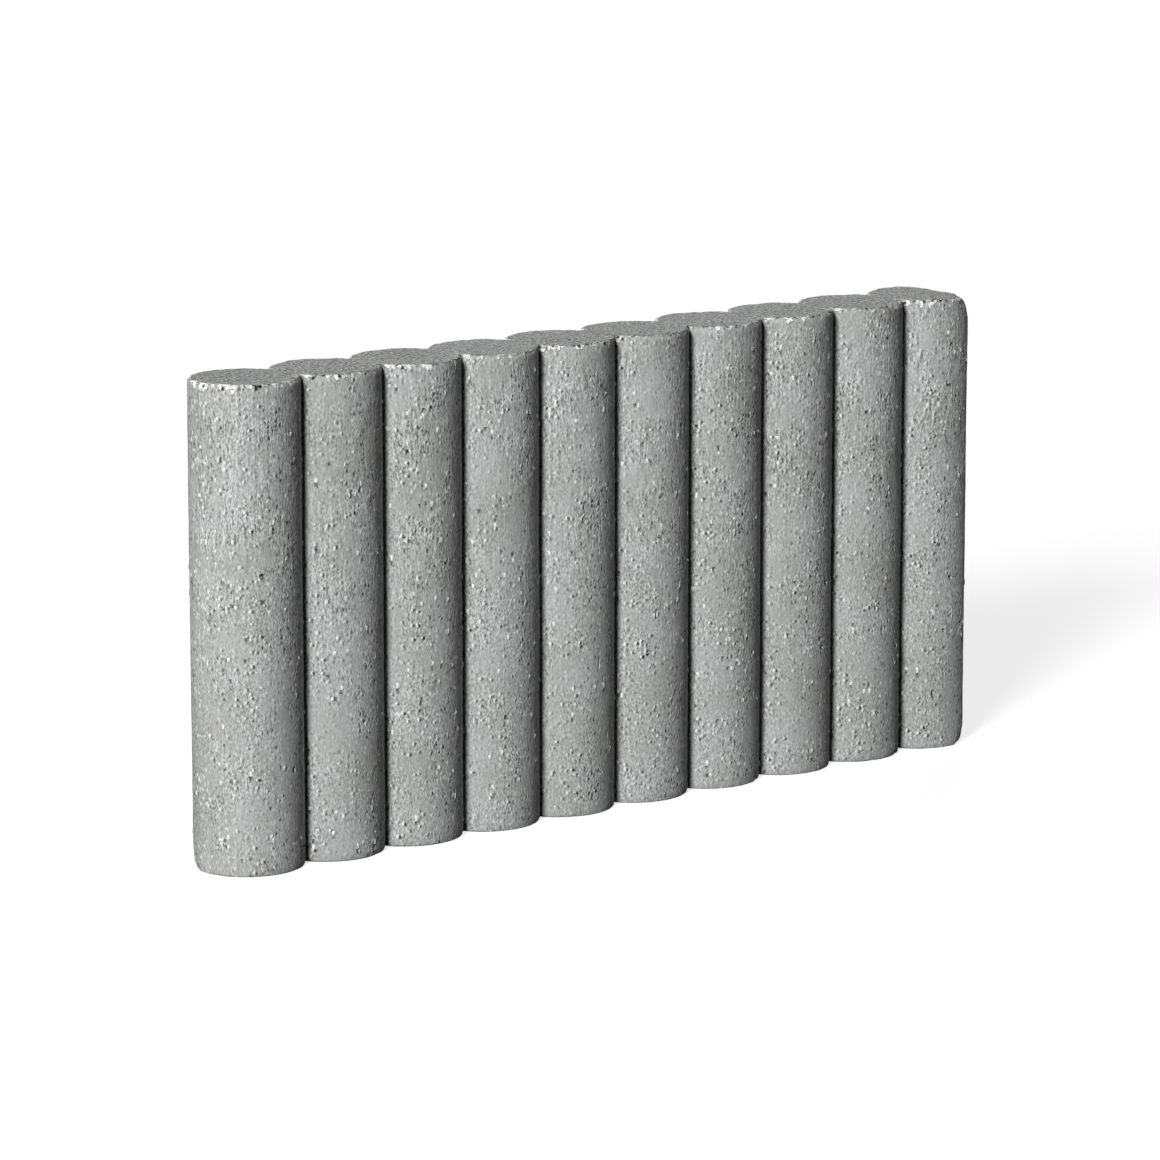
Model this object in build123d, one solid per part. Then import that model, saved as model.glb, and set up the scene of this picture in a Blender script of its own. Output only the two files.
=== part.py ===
from build123d import *
import math
import os

# Concrete kerb stone cast in one piece: a row of round columns run together into a slab.
# It stands on its base. The origin is the middle of the base.
# +X runs from the round nose to the flat end, +Y to the back, +Z up. Lengths in millimetres.

column_count = 10            # columns in the row, the nose being the first
kerb_length = 500.0          # nose tip to flat end
kerb_height = 250.0          # base to top
kerb_thickness = 56.0        # over the crowns of a column, front to back
web_thickness = 28.0         # between opposite grooves, before their roots are rounded
end_reach = 15.0             # from the middle of the last column to the flat end
groove_root_radius = 1.0     # rounding at the bottom of each groove
end_corner_radius = 3.0      # rounding of the two upright corners of the flat end
top_arris = 1.5              # bevel round the top
base_arris = 0.8             # bevel round the base
match_share = 1e-6           # how nearly two figures agree to count as the same

# the row: where each column stands
half_length = kerb_length / 2
half_thickness = kerb_thickness / 2
nose_middle = half_thickness - half_length
last_middle = half_length - end_reach
column_pitch = (last_middle - nose_middle) / (column_count - 1)
column_middles = [nose_middle + number * column_pitch for number in range(column_count)]

# the crown of a column: an arc that drops from the full thickness to the web at each groove
groove_depth = (kerb_thickness - web_thickness) / 2
crown_radius = ((column_pitch / 2) ** 2 + groove_depth ** 2) / (2 * groove_depth)
crown_centre = crown_radius - half_thickness
groove_angle = math.degrees(math.asin(column_pitch / 2 / crown_radius))
end_angle = math.degrees(math.asin(end_reach / crown_radius))
front = 270

# front half of the plan, from the nose tip along the crowns to the flat end
with BuildSketch() as plan:
    with BuildLine():
        nose = CenterArc((nose_middle, 0), half_thickness, front - 90, 90)
        CenterArc((nose_middle, crown_centre), crown_radius, front, groove_angle)
        for middle in column_middles[1:-1]:
            CenterArc((middle, crown_centre), crown_radius, front - groove_angle, 2 * groove_angle)
        last_crown = CenterArc(
            (last_middle, crown_centre), crown_radius, front - groove_angle, groove_angle + end_angle
        )
        Polyline(last_crown @ 1, (half_length, 0), nose @ 0)
    make_face()
    mirror(about=Plane.XZ)
    grooves = [
        corner
        for corner in plan.vertices()
        if math.isclose(abs(corner.Y), web_thickness / 2, rel_tol=match_share)
    ]
    fillet(grooves, groove_root_radius)
    fillet(plan.vertices().sort_by(Axis.X)[-2:], end_corner_radius)

# the plan drawn up to the full height, with the arrises at top and base taken off
with BuildPart() as kerb:
    add(plan.sketch)
    extrude(amount=kerb_height)
    chamfer(kerb.faces().sort_by(Axis.Z)[-1].edges(), top_arris)
    chamfer(kerb.faces().sort_by(Axis.Z)[0].edges(), base_arris)

os.makedirs("parts", exist_ok=True)
export_step(kerb.part, "parts/kerb_stone.step")
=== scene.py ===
import math
import random
import bmesh
import bpy
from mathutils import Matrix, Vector, noise


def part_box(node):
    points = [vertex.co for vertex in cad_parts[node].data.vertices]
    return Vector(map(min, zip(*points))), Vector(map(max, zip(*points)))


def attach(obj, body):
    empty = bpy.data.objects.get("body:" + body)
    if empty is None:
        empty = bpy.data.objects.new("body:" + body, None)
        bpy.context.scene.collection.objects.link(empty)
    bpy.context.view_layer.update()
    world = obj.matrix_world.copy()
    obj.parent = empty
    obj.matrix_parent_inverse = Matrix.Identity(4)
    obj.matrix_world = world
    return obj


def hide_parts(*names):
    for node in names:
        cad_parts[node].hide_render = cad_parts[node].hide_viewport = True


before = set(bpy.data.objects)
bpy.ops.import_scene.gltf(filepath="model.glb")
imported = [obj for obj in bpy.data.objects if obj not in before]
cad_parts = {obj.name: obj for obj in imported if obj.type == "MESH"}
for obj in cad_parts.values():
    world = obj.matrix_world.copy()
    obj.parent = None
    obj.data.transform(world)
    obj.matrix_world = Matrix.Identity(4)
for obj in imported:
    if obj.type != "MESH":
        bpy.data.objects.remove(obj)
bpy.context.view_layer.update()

mm = 0.001


def linear(hexColour):
    # sRGB hex to the linear colour that the shaders use
    parts = [int(hexColour[i:i + 2], 16) / 255 for i in (1, 3, 5)]
    return (*[p / 12.92 if p <= 0.04045 else ((p + 0.055) / 1.055) ** 2.4 for p in parts], 1.0)


def ramp(value, start, end):
    # 0 at start and before it, 1 at end and after it
    return min(1, max(0, (value - start) / (end - start)))


def addNode(tree, kind, settings=None, links=None):
    # a node with its settings and what is plugged into it; sockets go by name or number
    node = tree.nodes.new(kind)
    for name, value in (settings or {}).items():
        if isinstance(name, str) and hasattr(node, name):
            setattr(node, name, value)
        else:
            node.inputs[name].default_value = value
    for name, source in (links or {}).items():
        if isinstance(source, bpy.types.Node):
            source = source.outputs[0]
        tree.links.new(source, node.inputs[name])
    return node


# the kerb stone: ten columns in a row, cast in one piece
kerb = {
    "columns": 10,
    "web": 28 * mm,             # between opposite grooves
    "endReach": 15 * mm,        # last column's middle to the flat end
    "endCorner": 3 * mm,        # rounding of the upright corners there
    "topArris": 1.8 * mm,       # worn edge round the top
    "baseArris": 0.9 * mm,      # and round the base
    "arrisSteps": 2,
    "step": 1.7 * mm,           # spacing of the mesh round the outline
    "fewestSteps": 4,           # on a short arc
    "row": 2.7 * mm,            # spacing of the mesh up the columns
    "topBand": 10 * mm,         # rows are halved this far below the top
    "capCell": 4 * mm,          # cells of the top and base
    "capRing": 2.6 * mm,        # strip inside the rim of top and base
    "weld": 0.01 * mm,          # points closer than this become one
    "snap": 0.05 * mm,          # a cut takes points that lie this near
    "seed": 11,
}


def columnRow(low, high):
    # middle of the nose column, and the step from each column to the next
    noseMiddle = low.x + (high.y - low.y) / 2
    lastMiddle = high.x - kerb["endReach"]
    return noseMiddle, (lastMiddle - noseMiddle) / (kerb["columns"] - 1)


def arcOn(bm, vert, centre, angle):
    # carries the outline on round a centre, as seen from above
    radius = math.hypot(vert.co.x - centre[0], vert.co.y - centre[1])
    steps = max(kerb["fewestSteps"], round(radius * abs(angle) / kerb["step"]))
    out = bmesh.ops.spin(bm, geom=[vert], cent=(*centre, 0), axis=(0, 0, 1), angle=angle, steps=steps)
    return next(g for g in out["geom_last"] if isinstance(g, bmesh.types.BMVert))


def drawPlan(bm, low, high):
    # front half of the outline from the nose tip to the flat end, then its mirror image
    halfThick = (high.y - low.y) / 2
    noseMiddle, pitch = columnRow(low, high)
    lastMiddle = high.x - kerb["endReach"]
    depth = halfThick - kerb["web"] / 2
    crown = (pitch * pitch / 4 + depth * depth) / (2 * depth)
    crownY = crown - halfThick
    grooveAngle = math.asin(pitch / 2 / crown)
    corner = kerb["endCorner"]
    endAngle = math.asin((kerb["endReach"] - corner) / (crown - corner))
    cornerY = crownY - (crown - corner) * math.cos(endAngle)
    vert = bm.verts.new((low.x, 0, 0))
    vert = arcOn(bm, vert, (noseMiddle, 0), math.pi / 2)
    vert = arcOn(bm, vert, (noseMiddle, crownY), grooveAngle)
    for i in range(1, kerb["columns"] - 1):
        vert = arcOn(bm, vert, (noseMiddle + i * pitch, crownY), 2 * grooveAngle)
    vert = arcOn(bm, vert, (lastMiddle, crownY), grooveAngle + endAngle)
    vert = arcOn(bm, vert, (high.x - corner, cornerY), math.pi / 2 - endAngle)
    cuts = round(abs(vert.co.y) / kerb["step"]) - 1
    out = bmesh.ops.extrude_vert_indiv(bm, verts=[vert])
    out["verts"][0].co.y = 0
    bmesh.ops.subdivide_edges(bm, edges=out["edges"], cuts=cuts)
    bmesh.ops.mirror(bm, geom=bm.verts[:] + bm.edges[:], axis="Y", merge_dist=kerb["weld"])
    bmesh.ops.remove_doubles(bm, verts=bm.verts[:], dist=kerb["weld"])


def cutCap(bm, cap, low, high):
    # cuts the middle of the cap into cells
    for axis, start, end in ((0, low.x, high.x), (1, low.y, high.y)):
        count = round((end - start) / kerb["capCell"])
        for i in range(1, count):
            point, normal = Vector(), Vector()
            point[axis] = start + (end - start) * i / count
            normal[axis] = 1
            geom = list(dict.fromkeys(g for f in cap for g in (*f.verts, *f.edges))) + cap
            out = bmesh.ops.bisect_plane(bm, geom=geom, dist=kerb["snap"],
                                         plane_co=point, plane_no=normal)
            cap = [g for g in out["geom"] if isinstance(g, bmesh.types.BMFace)]


def climb(edge):
    return abs(edge.verts[0].co.z - edge.verts[1].co.z)


def sortCells(bm):
    # operators leave faces and edges in any order; sorted, the seed picks the same ones each time
    bm.verts.index_update()
    count = len(bm.verts)

    def rank(item):
        numbers = [v.index for v in item.verts]
        tieBreak = sum(numbers) / (10 * count)      # well under the steps of the rest
        return min(numbers) * count + max(numbers) + tieBreak

    bm.faces.sort(key=rank)
    bm.edges.sort(key=rank)


def buildBlank(bm, low, high):
    height = high.z - low.z
    drawPlan(bm, low, high)
    cap = bmesh.ops.contextual_create(bm, geom=bm.edges[:])["faces"]
    bmesh.ops.inset_region(bm, faces=cap, thickness=kerb["capRing"],
                           use_even_offset=True, use_boundary=True)
    cutCap(bm, cap, low, high)
    out = bmesh.ops.extrude_face_region(bm, geom=bm.faces[:])
    top = [g for g in out["geom"] if isinstance(g, bmesh.types.BMVert)]
    bmesh.ops.translate(bm, verts=top, vec=(0, 0, height))
    bmesh.ops.recalc_face_normals(bm, faces=bm.faces[:])
    walls = [f for f in bm.faces if any(climb(e) > height / 2 for e in f.edges)]
    rimEdges = [e for f in walls for e in f.edges if climb(e) < height / 2]
    for isTop, width in ((True, kerb["topArris"]), (False, kerb["baseArris"])):
        edges = [e for e in rimEdges if e.is_valid and (e.verts[0].co.z > height / 2) == isTop]
        bmesh.ops.bevel(bm, geom=edges, offset=width, segments=kerb["arrisSteps"], profile=0.5,
                        affect="EDGES", material=-1)
    uprights = [e for e in bm.edges if climb(e) > height / 2]
    cuts = round(height / kerb["row"]) - 1
    bmesh.ops.subdivide_edges(bm, edges=uprights, cuts=cuts, use_grid_fill=True)
    # the rows near the top are halved, but not the arris
    bandStart = height - kerb["topBand"]
    band = [e for e in bm.edges if climb(e) > kerb["topArris"]
            and min(v.co.z for v in e.verts) > bandStart]
    bmesh.ops.subdivide_edges(bm, edges=band, cuts=1, use_grid_fill=True)
    bmesh.ops.recalc_face_normals(bm, faces=bm.faces[:])
    sortCells(bm)


# unevenness that the mould, stripping and striking off left
relief = {
    "start": (3.7, 8.1, 5.3),           # where in the noise the kerb lies
    "settle": 0.1 * mm,                 # taken in all over, so that it grows no larger
    "wave": (0.20 * mm, 60 * mm),       # height and length of the slow unevenness of the mould
    "lumps": (0.10 * mm, 9 * mm),
    "grain": (0.10 * mm, 3.5 * mm),
    "drag": (0.12 * mm, 3.4 * mm, 40 * mm),     # drag marks: height, width, length
    "dragLow": 0.35,                    # share of them that the base has
    "dragGrows": (0.35, 0.7),           # shares of the height where they begin to grow and are full
    "screed": (0.28 * mm, 9 * mm),      # height and length of the unevenness of the struck top
    "screedSunk": 0.4,                  # share of that height that the top is sunk by
    "facesUp": 0.9,                     # upward part of the normal, from which it is top
    "facesDown": -0.5,                  # and up to which it is base
}


def roughen(bm, height):
    offset = Vector(relief["start"])
    moves = []
    for v in bm.verts:
        place = v.co + offset
        move = -relief["settle"]
        for name in ("wave", "lumps", "grain"):
            size, length = relief[name]
            move += size * noise.noise(place / length)
        if v.normal.z > relief["facesUp"]:
            size, length = relief["screed"]
            move += size * (noise.noise(place / length) - relief["screedSunk"])
        elif v.normal.z > relief["facesDown"]:
            size, width, length = relief["drag"]
            # dragged most where the mould left the upper half
            pull = relief["dragLow"] + (1 - relief["dragLow"]) * ramp(v.co.z / height, *relief["dragGrows"])
            drawn = Vector((place.x / width, place.y / width, place.z / length))
            move += pull * size * noise.noise(drawn)
        moves.append(v.normal * move)
    for v, move in zip(bm.verts, moves):
        v.co += move


# corners worn in handling: where along x, y and z of the box, how far, how deep, passes of smoothing
wornCorners = (
    ((1.0, 0.06, 1.0), 10 * mm, 2.6 * mm, 12),
    ((1.0, 0.94, 1.0), 7 * mm, 0.6 * mm, 5),
    ((0.01, 0.75, 0.0), 11 * mm, 1.3 * mm, 4),
    ((1.0, 0.06, 0.0), 9 * mm, 1.6 * mm, 8),
)
wearAcross = 0.3        # how much of the wear goes across the thickness


def wearCorners(bm, low, high):
    size = high - low
    for place, reach, depth, passes in wornCorners:
        corner = Vector([low[i] + size[i] * place[i] for i in range(3)])
        inward = Vector((0.5 - place[0], wearAcross * (0.5 - place[1]), 0.5 - place[2])).normalized()
        near = [v for v in bm.verts if (v.co - corner).length < reach]
        for v in near:
            v.co += inward * depth * (1 - ((v.co - corner).length / reach) ** 2) ** 2
        for i in range(passes):
            bmesh.ops.smooth_vert(bm, verts=near, factor=0.5,
                                  use_axis_x=True, use_axis_y=True, use_axis_z=True)


# rims of the top and the base, which crumble
rims = {
    "topChips": 90,
    "baseChips": 20,
    "chip": (1.0 * mm, 3.0 * mm),       # radius of the chips
    "chipDepth": (0.15, 0.3),           # and their depth, as shares of the radius
    "jitter": 0.08 * mm,                # how ragged the edge is between them
    "edge": 1.2 * mm,                   # how far from the top or base the edge reaches
    "edgeTilt": (0.2, 0.9),             # and how much of its normal is up or down
    "band": 6 * mm,                     # how far a chip can reach
}


def crumbleRims(bm, height, rng):
    leastTilt, mostTilt = rims["edgeTilt"]
    for level, count in ((height, rims["topChips"]), (0, rims["baseChips"])):
        band = [v for v in bm.verts if abs(v.co.z - level) < rims["band"]]
        edge = [v for v in band if abs(v.co.z - level) < rims["edge"]
                and leastTilt < abs(v.normal.z) < mostTilt]
        for v in edge:
            v.co -= v.normal * abs(rng.gauss(0, rims["jitter"]))
        for spot in rng.sample(edge, count):
            centre = spot.co.copy()
            radius = rng.uniform(*rims["chip"])
            move = -spot.normal * radius * rng.uniform(*rims["chipDepth"])
            for v in band:
                v.co += move * ramp((v.co - centre).length, radius, 0)


# pale crumbs of paste along the top rim, and painted shade in the grooves
paste = {
    "reach": 9 * mm,                    # how far crumbs reach down from the rim
    "amount": 0.74,
    "vary": (0.4, 16 * mm),             # how far the amount varies, and over what length
    "atGroove": (0.5, 10 * mm),         # more of them round a groove, and how far from it
    "onTop": (0.95, 9 * mm),            # those on the top beside a groove
    "onNose": 0.36,                     # more of them on the nose
    "noseGrows": (2 * mm, 10 * mm),     # beyond its middle, where that begins and is full
    "noseBack": 10 * mm,                # and how far round to the back it goes
    "paintedGrooveShade": 2.6 * mm,                  # how far the painted shade reaches out from the bottom of a groove
    "grooveShadeFade": 1.3,
    "facesUp": 0.99,                    # upward part of the normal, from which it is top
}


def markPasteAndGrooveShade(bm, low, high, chalk, paintedGrooveShade):
    height = high.z - low.z
    noseMiddle, pitch = columnRow(low, high)
    swing, length = paste["vary"]
    grooveMore, grooveReach = paste["atGroove"]
    topAmount, topReach = paste["onTop"]
    for v in bm.verts:
        step = min(kerb["columns"] - 2, max(0, round((v.co.x - noseMiddle) / pitch - 0.5)))
        groove = noseMiddle + (step + 0.5) * pitch
        away = math.hypot(v.co.x - groove, abs(v.co.y) - kerb["web"] / 2)
        below = (height - v.co.z) / paste["reach"]
        onTop = v.normal.z > paste["facesUp"]
        if onTop:
            v[chalk] = topAmount * ramp(away, topReach, 0)
        else:
            # painted shade, darkest at the bottom of a groove
            v[paintedGrooveShade] = ramp(away, paste["paintedGrooveShade"], 0) ** paste["grooveShadeFade"]
        if below < 1 and not onTop:
            amount = paste["amount"] + swing * noise.noise(v.co / length)
            amount += grooveMore * ramp(away, grooveReach, 0)
            if v.co.y < paste["noseBack"]:
                amount += paste["onNose"] * ramp(noseMiddle - v.co.x, *paste["noseGrows"])
            v[chalk] = max(0, amount * (1 - below) ** 2)


# open pits and proud stones in the walls, over a cell of the mesh or a few, some side by side
studs = {
    "clear": (6 * mm, 11 * mm),         # none this near the base and the top
    "wallTilt": 0.3,                    # upward part of the normal, below which it is wall
    "patch": 22 * mm,                   # size of the patches that pits gather in
    "stray": 0.35,                      # how far they stray from the patches
    "fewerUp": 0.15,                    # how much fewer there are at the top
    "pits": ((240, 1), (70, 2)),        # how many, and over how many cells of the mesh
    "stones": ((220, 1),),              # grains standing proud of the skin, counted the same way
    "pairs": ((420, 1),),               # and those with a pit beside them
    "slip": (0.3 * mm, 0.3 * mm, 0.8 * mm),     # off the rows of the mesh, by x, y and z
    "loose": (0.3 * mm, 0.6 * mm),      # corners out of square, on one cell and on more
    "pitDepth": (0.5 * mm, 1.5 * mm),
    "pitLots": 4,                       # lots of pits, each a little deeper
    "pitSide": 0.3 * mm,                # width of the side of a pit
    "pitSideShare": 0.55,               # share of the depth that the side takes
    "pitSideShade": 0.5,                     # how dark the painted shade on the side can be, where the bottom is 1
    "pitOff": 0.3 * mm,                 # how far its lowest point lies off the middle
    "stoneHeight": 0.4 * mm,
    "stoneSide": 0.4 * mm,
    "stoneCrown": 0.15 * mm,            # rise of its top
    "stoneTint": 0.75,                  # how pale its rim is, where the middle is 1
}


def growGroup(start, cells, rng):
    # a cell of the mesh with some of its neighbours
    group = [start]
    while len(group) < cells:
        near = [g for e in rng.choice(group).edges for g in e.link_faces if g not in group]
        group.append(rng.choice(near))
    return group


def joinGroups(bm, groups):
    # each group of cells as one face
    single = [g[0] for g in groups if len(g) == 1]
    wide = [f for g in groups if len(g) > 1 for f in g]
    return single + bmesh.ops.dissolve_faces(bm, faces=wide, use_verts=True)["region"]


def pickCells(bm, height, rng):
    # cells for stones and for pits, none of which share a corner with another's
    openCells, closedCells = [], []
    fromBase, fromTop = studs["clear"]
    for f in bm.faces:
        spot = f.calc_center_median()
        if abs(f.normal.z) < studs["wallTilt"] and fromBase < spot.z < height - fromTop:
            patchy = noise.noise(spot / studs["patch"]) + rng.uniform(-studs["stray"], studs["stray"])
            patchy -= studs["fewerUp"] * spot.z / height
            (openCells if patchy > 0 else closedCells).append(f)
    rng.shuffle(openCells)
    rng.shuffle(closedCells)
    taken = set()

    def claim(group):
        around = {v for f in group for v in f.verts}
        free = not around & taken
        if free:
            taken.update(around)
        return free

    stones, holes = [], []
    for count, cells in studs["pairs"]:
        for i in range(count):
            stone = growGroup(openCells.pop(), cells, rng)
            near = [g for f in stone for e in f.edges for g in e.link_faces if g not in stone]
            hole = growGroup(rng.choice(near), cells, rng)
            if not set(stone) & set(hole) and claim(stone + hole):
                stones.append(stone)
                holes.append(hole)
    for kind, cellList, groups in (("stones", closedCells, stones), ("pits", openCells, holes)):
        for count, cells in studs[kind]:
            for i in range(count):
                group = growGroup(cellList.pop(), cells, rng)
                if claim(group):
                    groups.append(group)
    return joinGroups(bm, stones), joinGroups(bm, holes)


def sinkPits(bm, holes, pit, rng):
    for f in holes:
        for e in f.edges:
            e.smooth = False
    # in lots, with the wide ones last and deepest
    rng.shuffle(holes)
    holes.sort(key=lambda f: len(f.verts))
    lots = studs["pitLots"]
    shallow, deep = studs["pitDepth"]
    off = studs["pitOff"]
    for i in range(lots):
        lot = holes[i * len(holes) // lots:(i + 1) * len(holes) // lots]
        depth = shallow + (deep - shallow) * i / (lots - 1)
        sideDepth = studs["pitSideShare"] * depth
        bmesh.ops.inset_individual(bm, faces=lot, thickness=studs["pitSide"], depth=-sideDepth,
                                   use_even_offset=True)
        # painted shade on the side and bottom of each pit
        for f in lot:
            for v in f.verts:
                v[pit] = rng.uniform(0, studs["pitSideShade"])
        for v in bmesh.ops.poke(bm, faces=lot, offset=sideDepth - depth)["verts"]:
            v[pit] = 1.0
            v.co += Vector([rng.uniform(-off, off) for _ in range(3)])


def raiseStones(bm, stones, grain):
    bmesh.ops.inset_individual(bm, faces=stones, thickness=studs["stoneSide"],
                               depth=studs["stoneHeight"], use_even_offset=True)
    for v in bmesh.ops.poke(bm, faces=stones, offset=studs["stoneCrown"])["verts"]:
        v[grain] = 1.0
        for e in v.link_edges:
            e.other_vert(v)[grain] = studs["stoneTint"]


def studWalls(bm, height, pit, grain, rng):
    stones, holes = pickCells(bm, height, rng)
    looseOne, looseMore = studs["loose"]
    for f in holes + stones:
        # off the rows of the mesh, and out of square
        slip = Vector([rng.uniform(-most, most) for most in studs["slip"]])
        loose = looseOne if len(f.verts) == 4 else looseMore
        for v in f.verts:
            shake = slip + Vector([rng.uniform(-loose, loose) for _ in range(3)])
            v.co += shake - f.normal * shake.dot(f.normal)
    sinkPits(bm, holes, pit, rng)
    raiseStones(bm, stones, grain)


def buildKerb():
    low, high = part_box("kerb_stone")
    height = high.z - low.z
    rng = random.Random(kerb["seed"])
    bm = bmesh.new()
    buildBlank(bm, low, high)
    print("kerb blank", len(bm.verts), "verts", len(bm.faces), "faces")
    layers = bm.verts.layers.float
    pit, grain, chalk, paintedGrooveShade = [layers.new(name) for name in ("pit", "grain", "chalk", "paintedGrooveShade")]
    bm.normal_update()
    markPasteAndGrooveShade(bm, low, high, chalk, paintedGrooveShade)
    roughen(bm, height)
    wearCorners(bm, low, high)
    bm.normal_update()
    crumbleRims(bm, height, rng)
    bm.normal_update()
    studWalls(bm, height, pit, grain, rng)
    bmesh.ops.recalc_face_normals(bm, faces=bm.faces[:])
    for f in bm.faces:
        f.smooth = True
    print("kerb finished,", sum(len(f.verts) - 2 for f in bm.faces), "triangles")
    mesh = bpy.data.meshes.new("kerb_casting")
    bm.to_mesh(mesh)
    bm.free()
    piece = bpy.data.objects.new("kerb_casting", mesh)
    bpy.context.scene.collection.objects.link(piece)
    return piece


# dry-cast concrete: stiff mix rammed and stripped at once, so the skin is open, sandy and
# dragged upright, with pits where the paste didn't close round the stones; quite matt
look = {
    "pale": "#b1b3b2",
    "dull": "#a6a8a6",
    "sand": "#f2f3f0",
    "shadowed": "#2c2d2c",              # painted shade in the pores, pits and the gaps between crumbs
    # painted shade at the bottom of the grooves
    "grooveShadeColour": "#161616",
    "roughness": 0.93,
    "ior": 1.5,
    "sheen": 0.1,                       # dusty and open, so hardly any
    "top": {"From Min": 0.5, "From Max": 0.85},         # how far up the struck top faces
    "patch": 38 * mm,                   # size of the slow mottling
    "mottle": {"From Min": 0.35, "From Max": 0.65},
    "openPerPatch": 2.3,                # patches of open skin across one of mottling
    "open": {"From Min": 0.36, "From Max": 0.64, "To Min": 0.45, "To Max": 1.4},
    "dash": (0.8 * mm, 1.6 * mm),       # width and height of the sandy dashes
    "dashRoughness": 0.55,
    "dashTone": 0.9,                    # how far they go lighter and darker
    "ragged": 1.2 * mm,                 # how far they push sand, pores and crumbs out of round
    "streak": (0.9 * mm, 8 * mm),       # width and height of the drag marks
    "streakTone": 0.6,
    "upper": {"From Min": 60 * mm, "From Max": 180 * mm, "To Min": 0.25},       # heights they grow over
    "stuck": 70 * mm,                   # size of the parts that were dragged harder
    "hard": {"From Min": 0.4, "From Max": 0.58, "To Min": 0.6, "To Max": 1.1},
    "screed": 2.4 * mm,                 # grain of the struck top
    "screedRoughness": 0.65,
    "screedTone": 1.3,
    "screedDullAndShade": 0.06,                 # and how much darker it is painted on the whole, partly a duller struck finish and partly painted shade
    "sandSpacing": (2.2 * mm, 3.0 * mm),        # across and up
    "sandSize": {"From Min": 0.46, "From Max": 0.16},   # edge and core of a grain, in spacings
    "poreSize": {"From Min": 0.44, "From Max": 0.16},
    "poreBeside": (-1.0 * mm, 0.8 * mm, 0.3 * mm),      # from a pore to the sand that it lies beside: partly a real pore and partly the grain's painted shadow, on its side away from the key
    "speckShare": {"From Min": 0.2, "From Max": 1.0},   # leaves some of the cells empty
    "speckFade": 1.3,                   # more makes the faint ones fainter
    "poreShade": 0.8,
    "crumbSpacing": (1.8 * mm, 12 * mm),
    "crumbRound": -0.6,                 # less at the edge of a cell than in its middle
    "crumb": {"From Min": 0.92, "From Max": 1.04},
    "gapSize": {"From Min": 0.6, "From Max": 0.35},
    "gapLimit": 1.5,                    # no gaps where the crust is thick
    "gapOnTop": 0.2,                    # some more of them on the top
    "gap": {"From Min": 1.4, "From Max": 1.55},
    "proud": {"From Min": 0.35, "From Max": 0.8},       # edge of a proud stone
    # how dark the painted shade in the grooves is
    "grooveShadeStrength": 0.75,
    "fine": {                           # relief finer than the mesh, in millimetres
        "dash": 0.25, "streak": 0.28, "screed": 1.2, "sand": 0.2, "pore": -0.4, "crumb": 0.5, "gap": -0.5,
    },
}


def addSand(tree, ragged, coarse):
    # sand in the cells of a pattern, from hardly there to nearly white, and a pore beside each grain, which
    # is partly a real pore and partly the grain's painted shadow
    width, tall = look["sandSpacing"]
    specks = []
    for beside, size in (((0, 0, 0), look["sandSize"]), (look["poreBeside"], look["poreSize"])):
        moved = addNode(tree, "ShaderNodeVectorMath", {"operation": "ADD", 1: beside}, {0: ragged})
        drawn = addNode(tree, "ShaderNodeMapping", {"Scale": (1 / width, 1 / width, 1 / tall)},
                        {"Vector": moved})
        cells = addNode(tree, "ShaderNodeTexVoronoi", {"Scale": 1.0}, {"Vector": drawn})
        spot = addNode(tree, "ShaderNodeMapRange", size, {"Value": cells.outputs["Distance"]})
        luck = addNode(tree, "ShaderNodeSeparateColor", links={0: cells.outputs["Color"]})
        some = addNode(tree, "ShaderNodeMapRange", look["speckShare"], {"Value": luck})
        some = addNode(tree, "ShaderNodeMath", {"operation": "POWER", 1: look["speckFade"]}, {0: some})
        speck = addNode(tree, "ShaderNodeMath", {"operation": "MULTIPLY"}, {0: spot, 1: some})
        specks.append(addNode(tree, "ShaderNodeMath", {"operation": "MULTIPLY"}, {0: speck, 1: coarse}))
    return specks


def addCrumbs(tree, ragged, flat):
    # crumbs of paste along the rims, and painted shade in the gaps between them
    chalk = addNode(tree, "ShaderNodeAttribute", {"attribute_name": "chalk"}).outputs["Fac"]
    width, tall = look["crumbSpacing"]
    drawn = addNode(tree, "ShaderNodeMapping", {"Scale": (1 / width, 1 / width, 1 / tall)},
                    {"Vector": ragged})
    cells = addNode(tree, "ShaderNodeTexVoronoi", {"Scale": 1.0}, {"Vector": drawn})
    luck = addNode(tree, "ShaderNodeSeparateColor", links={0: cells.outputs["Color"]})
    likely = addNode(tree, "ShaderNodeMath", {"operation": "ADD"}, {0: chalk, 1: luck.outputs[0]})
    likely = addNode(tree, "ShaderNodeMath", {"operation": "MULTIPLY_ADD", 1: look["crumbRound"]},
                     {0: cells.outputs["Distance"], 2: likely})
    crumb = addNode(tree, "ShaderNodeMapRange", look["crumb"], {"Value": likely})
    # painted shade in the gaps between crumbs
    spot = addNode(tree, "ShaderNodeMapRange", look["gapSize"], {"Value": cells.outputs["Distance"]})
    thin = addNode(tree, "ShaderNodeMath", {"operation": "SUBTRACT", 0: look["gapLimit"]}, {1: chalk})
    likely = addNode(tree, "ShaderNodeMath", {"operation": "MINIMUM"}, {0: chalk, 1: thin})
    likely = addNode(tree, "ShaderNodeMath", {"operation": "ADD"}, {0: likely, 1: luck.outputs[1]})
    likely = addNode(tree, "ShaderNodeMath", {"operation": "MULTIPLY_ADD", 1: look["gapOnTop"]},
                     {0: flat, 2: likely})
    gap = addNode(tree, "ShaderNodeMapRange", look["gap"], {"Value": likely})
    gap = addNode(tree, "ShaderNodeMath", {"operation": "MULTIPLY"}, {0: gap, 1: spot})
    return crumb, gap


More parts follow.
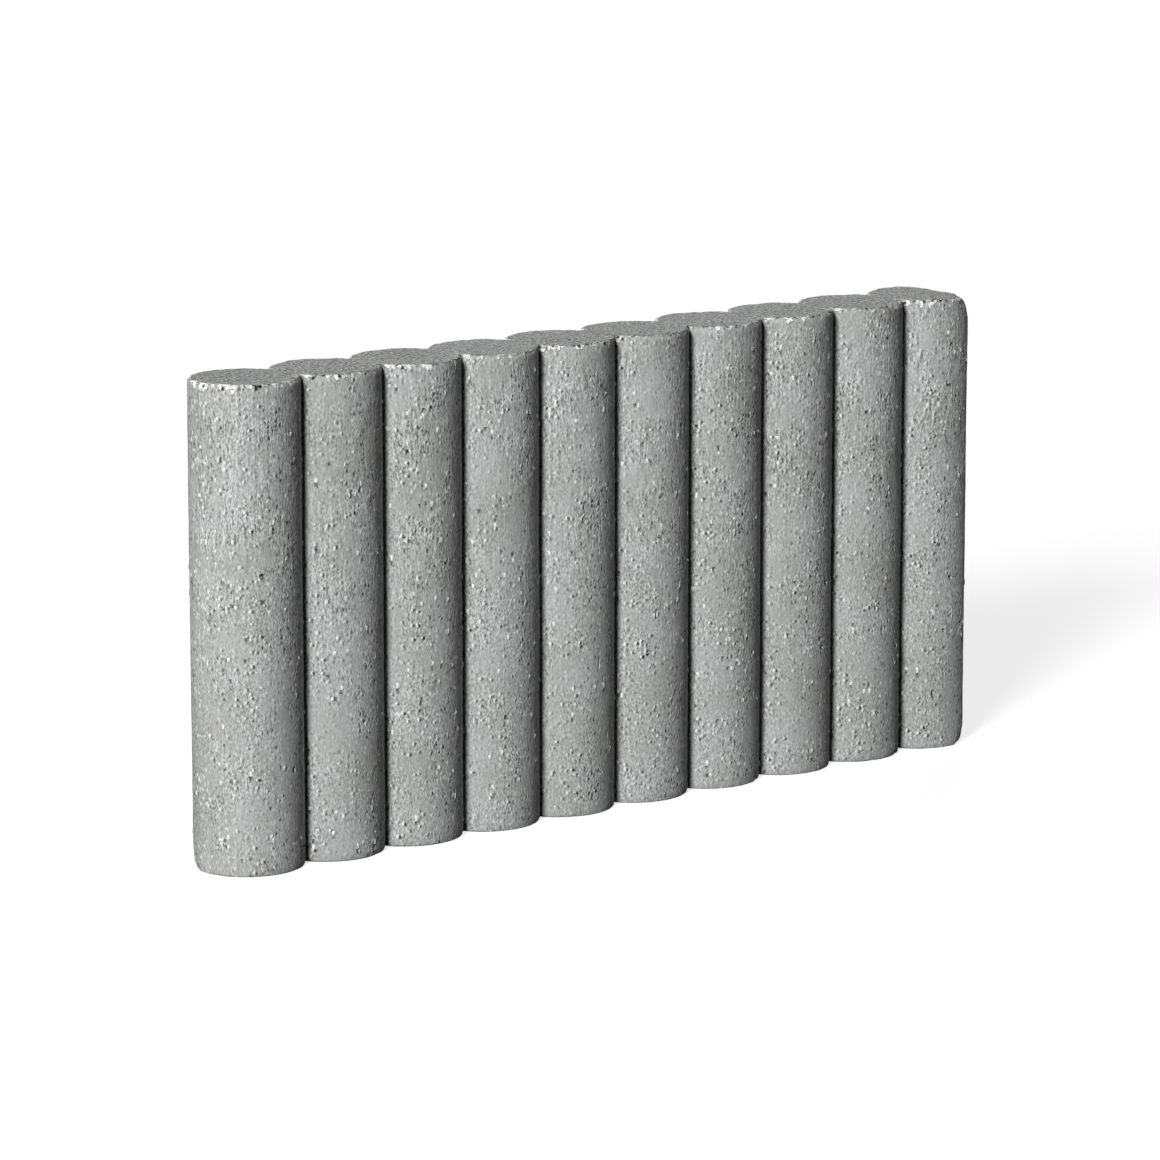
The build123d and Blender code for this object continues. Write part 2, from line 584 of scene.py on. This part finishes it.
def makeConcrete():
    material = bpy.data.materials.new("dryCastConcrete")
    material.use_nodes = True
    tree = material.node_tree
    tree.nodes.clear()
    coords = addNode(tree, "ShaderNodeTexCoord")
    place = coords.outputs["Object"]
    rise = addNode(tree, "ShaderNodeSeparateXYZ", links={0: place}).outputs["Z"]
    upward = addNode(tree, "ShaderNodeSeparateXYZ", links={0: coords.outputs["Normal"]}).outputs["Z"]
    flat = addNode(tree, "ShaderNodeMapRange", look["top"], {"Value": upward})

    # slow mottling of the body, and patches where the skin is smoother or more open
    patch = addNode(tree, "ShaderNodeTexNoise", {"Scale": 1 / look["patch"], "Detail": 3.0},
                    {"Vector": place})
    mottle = addNode(tree, "ShaderNodeMapRange", look["mottle"], {"Value": patch})
    shades = {"data_type": "RGBA", 6: linear(look["dull"]), 7: linear(look["pale"])}
    body = addNode(tree, "ShaderNodeMix", shades, {0: mottle}).outputs[2]
    openness = addNode(tree, "ShaderNodeTexNoise", {"Scale": look["openPerPatch"] / look["patch"],
                       "Detail": 3.0}, {"Vector": place})
    coarse = addNode(tree, "ShaderNodeMapRange", look["open"], {"Value": openness})

    # sandy dashes, light and dark; noise swings about 0.5, which is where each tone starts from
    width, tall = look["dash"]
    drawn = addNode(tree, "ShaderNodeMapping", {"Scale": (1 / width, 1 / width, 1 / tall)},
                    {"Vector": place})
    dash = addNode(tree, "ShaderNodeTexNoise", {"Scale": 1.0, "Detail": 1.0,
                   "Roughness": look["dashRoughness"]}, {"Vector": drawn})
    swing = addNode(tree, "ShaderNodeMapRange", {"clamp": False, "From Min": 0.5,
                    "To Max": look["dashTone"]}, {"Value": dash})
    tone = addNode(tree, "ShaderNodeMath", {"operation": "MULTIPLY_ADD", 2: 1.0}, {0: swing, 1: coarse})
    # the same noise makes sand, pores and crumbs less round
    push = (look["ragged"], look["ragged"], look["ragged"])
    ragged = addNode(tree, "ShaderNodeVectorMath", {"operation": "MULTIPLY_ADD", 1: push},
                     {0: dash.outputs["Color"], 2: place})

    # upright drag marks, strongest in the upper half and where the casting stuck in the mould
    width, tall = look["streak"]
    drawn = addNode(tree, "ShaderNodeMapping", {"Scale": (1 / width, 1 / width, 1 / tall)},
                    {"Vector": place})
    streak = addNode(tree, "ShaderNodeTexNoise", {"Scale": 1.0, "Detail": 1.0}, {"Vector": drawn})
    upper = addNode(tree, "ShaderNodeMapRange", look["upper"], {"Value": rise})
    stuck = addNode(tree, "ShaderNodeTexNoise", {"Scale": 1 / look["stuck"], "Detail": 1.0},
                    {"Vector": place})
    hard = addNode(tree, "ShaderNodeMapRange", look["hard"], {"Value": stuck})
    upper = addNode(tree, "ShaderNodeMath", {"operation": "MULTIPLY"}, {0: upper, 1: hard})
    pulled = addNode(tree, "ShaderNodeMath", {"operation": "MULTIPLY"}, {0: upper, 1: coarse})
    swing = addNode(tree, "ShaderNodeMapRange", {"clamp": False, "From Min": 0.5,
                    "To Max": look["streakTone"]}, {"Value": streak})
    tone = addNode(tree, "ShaderNodeMath", {"operation": "MULTIPLY_ADD"}, {0: swing, 1: pulled, 2: tone})

    # coarser grain where the top was struck off
    screed = addNode(tree, "ShaderNodeTexNoise", {"Scale": 1 / look["screed"], "Detail": 3.0,
                     "Roughness": look["screedRoughness"]}, {"Vector": place})
    struck = addNode(tree, "ShaderNodeMath", {"operation": "MULTIPLY"}, {0: screed, 1: flat})
    # the top painted darker, partly a duller finish and partly painted shade
    swing = addNode(tree, "ShaderNodeMapRange", {"clamp": False, "From Min": 0.5 + look["screedDullAndShade"],
                    "To Max": look["screedTone"]}, {"Value": screed})
    tone = addNode(tree, "ShaderNodeMath", {"operation": "MULTIPLY_ADD"}, {0: swing, 1: flat, 2: tone})
    body = addNode(tree, "ShaderNodeVectorMath", {"operation": "SCALE"}, {0: body, "Scale": tone})

    # one over the other: sand, pores beside the grains as partly painted shadow, proud grains, painted
    # shade in the pits, crumbs, painted shade in the gaps between them and in the grooves
    sand, pore = addSand(tree, ragged, coarse)
    crumb, gap = addCrumbs(tree, ragged, flat)
    # pores beside the grains, partly painted shadow
    dark = addNode(tree, "ShaderNodeMath", {"operation": "MULTIPLY", 1: look["poreShade"]}, {0: pore})
    grain = addNode(tree, "ShaderNodeAttribute", {"attribute_name": "grain"}).outputs["Fac"]
    proud = addNode(tree, "ShaderNodeMapRange", look["proud"], {"Value": grain})
    # painted shade in the pits, darkest at the bottom
    pit = addNode(tree, "ShaderNodeAttribute", {"attribute_name": "pit"}).outputs["Fac"]
    # painted shade in the grooves
    paintedGrooveShade = addNode(tree, "ShaderNodeAttribute", {"attribute_name": "paintedGrooveShade"}).outputs["Fac"]
    grooveShadeShare = addNode(tree, "ShaderNodeMath", {"operation": "MULTIPLY", 1: look["grooveShadeStrength"]}, {0: paintedGrooveShade})
    for share, colour in ((sand, "sand"), (dark, "shadowed"), (proud, "sand"), (pit, "shadowed"),
                          (crumb, "sand"), (gap, "shadowed"), (grooveShadeShare, "grooveShadeColour")):
        body = addNode(tree, "ShaderNodeMix", {"data_type": "RGBA", 7: linear(look[colour])},
                       {0: share, 6: body}).outputs[2]

    # the fine relief
    fine = look["fine"]
    rough = addNode(tree, "ShaderNodeMath", {"operation": "MULTIPLY"}, {0: dash, 1: coarse})
    line = addNode(tree, "ShaderNodeMath", {"operation": "MULTIPLY"}, {0: streak, 1: pulled})
    height = addNode(tree, "ShaderNodeMath", {"operation": "MULTIPLY", 1: fine["dash"]}, {0: rough})
    for name, part in (("streak", line), ("screed", struck), ("sand", sand), ("pore", pore),
                       ("crumb", crumb), ("gap", gap)):
        height = addNode(tree, "ShaderNodeMath", {"operation": "MULTIPLY_ADD", 1: fine[name]},
                         {0: part, 2: height})
    bump = addNode(tree, "ShaderNodeBump", {"Strength": 1.0, "Distance": mm}, {"Height": height})
    shader = addNode(tree, "ShaderNodeBsdfPrincipled", {"Roughness": look["roughness"], "IOR": look["ior"],
                     "Specular IOR Level": look["sheen"]}, {"Base Color": body, "Normal": bump})
    addNode(tree, "ShaderNodeOutputMaterial", links={"Surface": shader})
    print("concrete made,", len(tree.nodes), "nodes")
    return material


kerbPiece = buildKerb()
kerbPiece.data.materials.append(makeConcrete())
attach(kerbPiece, "root")
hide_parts("kerb_stone")

# camera where the photograph was taken from
shot = {
    "aim": (-5.1 * mm, 0, 119.5 * mm),
    "azimuth": -39.34,          # degrees round to the left of straight on
    "elevation": 11.16,
    "distance": 2.972,          # metres
    "lens": 175.4,              # millimetres, as the sensor is
    "sensor": 36,
    "clipEnd": 100,
}


def fromAngles(azimuth, elevation):
    a, e = math.radians(azimuth), math.radians(elevation)
    return Vector((math.sin(a) * math.cos(e), -math.cos(a) * math.cos(e), math.sin(e)))


def aimAtKerb(item, setting):
    # puts a camera or a lamp at its angles and distance, turned to the kerb
    direction = fromAngles(setting["azimuth"], setting["elevation"])
    item.location = Vector(shot["aim"]) + direction * setting["distance"]
    item.rotation_mode = "QUATERNION"
    item.rotation_quaternion = (-direction).to_track_quat("-Z", "Y")
    bpy.context.scene.collection.objects.link(item)


cameraData = bpy.data.cameras.new("shot")
cameraData.lens = shot["lens"]
cameraData.sensor_width = shot["sensor"]
cameraData.clip_end = shot["clipEnd"]
camera = bpy.data.objects.new("shot", cameraData)
aimAtKerb(camera, shot)
bpy.context.scene.camera = camera

# soft key from the left, a weaker one beyond the nose and one for the back and the flat end
lamps = {
    "key": {"azimuth": -58, "elevation": 25, "distance": 9, "size": 2.1, "level": 1.18},
    "nose": {"azimuth": -110, "elevation": 18, "distance": 7, "size": 2.6, "level": 0.14},
    "back": {"azimuth": 140, "elevation": 9, "distance": 6, "size": 2, "level": 0.7},
}
for name, lamp in lamps.items():
    lampData = bpy.data.lights.new(name, "AREA")
    lampData.shape = "DISK"
    lampData.size = lamp["size"]
    # at level 1 a colour shows as written
    lampData.energy = lamp["level"] * (math.pi * lamp["distance"]) ** 2
    aimAtKerb(bpy.data.objects.new(name, lampData), lamp)
print("camera and", len(lamps), "lamps placed")

# white background, and a pale floor that shows the shadow near the kerb and runs out to white
studio = {
    "white": "#ffffff",
    "worldLight": 0.006,        # what the background adds to the light on the kerb
    "floorHalf": 12,            # metres from the middle of the floor to its edge
    "fade": {"From Min": 0.45, "From Max": 1.6},        # metres out where white begins and is full
    "floorBounce": "#404040",   # the floor as it lights the kerb
    "floorPale": "#b4b4b4",     # the floor as it is seen
    "floorLift": 0.74,          # and how much paler it is made, so that the shadow stays light
}


def seenBackground(tree):
    # 1 for what the camera sees straight, mirrored or through glass, 0 for light that falls on things
    path = addNode(tree, "ShaderNodeLightPath")
    seen = path.outputs["Is Camera Ray"]
    for name in ("Is Glossy Ray", "Is Transmission Ray"):
        seen = addNode(tree, "ShaderNodeMath", {"operation": "MAXIMUM"}, {0: seen, 1: path.outputs[name]})
    return seen


def makeWorld():
    world = bpy.data.worlds.new("studio")
    world.use_nodes = True
    tree = world.node_tree
    tree.nodes.clear()
    white = linear(studio["white"])
    dim = addNode(tree, "ShaderNodeBackground", {"Color": white, "Strength": studio["worldLight"]})
    shown = addNode(tree, "ShaderNodeBackground", {"Color": white, "Strength": 1.0})
    both = addNode(tree, "ShaderNodeMixShader", links={0: seenBackground(tree), 1: dim, 2: shown})
    addNode(tree, "ShaderNodeOutputWorld", links={"Surface": both})
    return world


def makeFloorPaint():
    paint = bpy.data.materials.new("paleFloor")
    paint.use_nodes = True
    tree = paint.node_tree
    tree.nodes.clear()
    white = linear(studio["white"])
    place = addNode(tree, "ShaderNodeTexCoord")
    away = addNode(tree, "ShaderNodeVectorMath", {"operation": "LENGTH"}, {0: place.outputs["Object"]})
    fade = addNode(tree, "ShaderNodeMapRange", {"interpolation_type": "SMOOTHSTEP", **studio["fade"]},
                   {"Value": away.outputs["Value"]})
    matt = addNode(tree, "ShaderNodeBsdfDiffuse", {"Color": linear(studio["floorBounce"])})
    pale = addNode(tree, "ShaderNodeBsdfDiffuse", {"Color": linear(studio["floorPale"])})
    lift = addNode(tree, "ShaderNodeEmission", {"Color": white, "Strength": studio["floorLift"]})
    near = addNode(tree, "ShaderNodeAddShader", links={0: pale, 1: lift})
    far = addNode(tree, "ShaderNodeEmission", {"Color": white, "Strength": 1.0})
    shown = addNode(tree, "ShaderNodeMixShader", links={0: fade, 1: near, 2: far})
    both = addNode(tree, "ShaderNodeMixShader", links={0: seenBackground(tree), 1: matt, 2: shown})
    addNode(tree, "ShaderNodeOutputMaterial", links={"Surface": both})
    return paint


bpy.context.scene.world = makeWorld()
bm = bmesh.new()
bmesh.ops.create_grid(bm, x_segments=2, y_segments=2, size=studio["floorHalf"])
floorMesh = bpy.data.meshes.new("floor")
bm.to_mesh(floorMesh)
bm.free()
floorMesh.materials.append(makeFloorPaint())
floor = bpy.data.objects.new("floor", floorMesh)
bpy.context.scene.collection.objects.link(floor)
print("floor laid")

bpy.context.scene.view_settings.view_transform = "Standard"
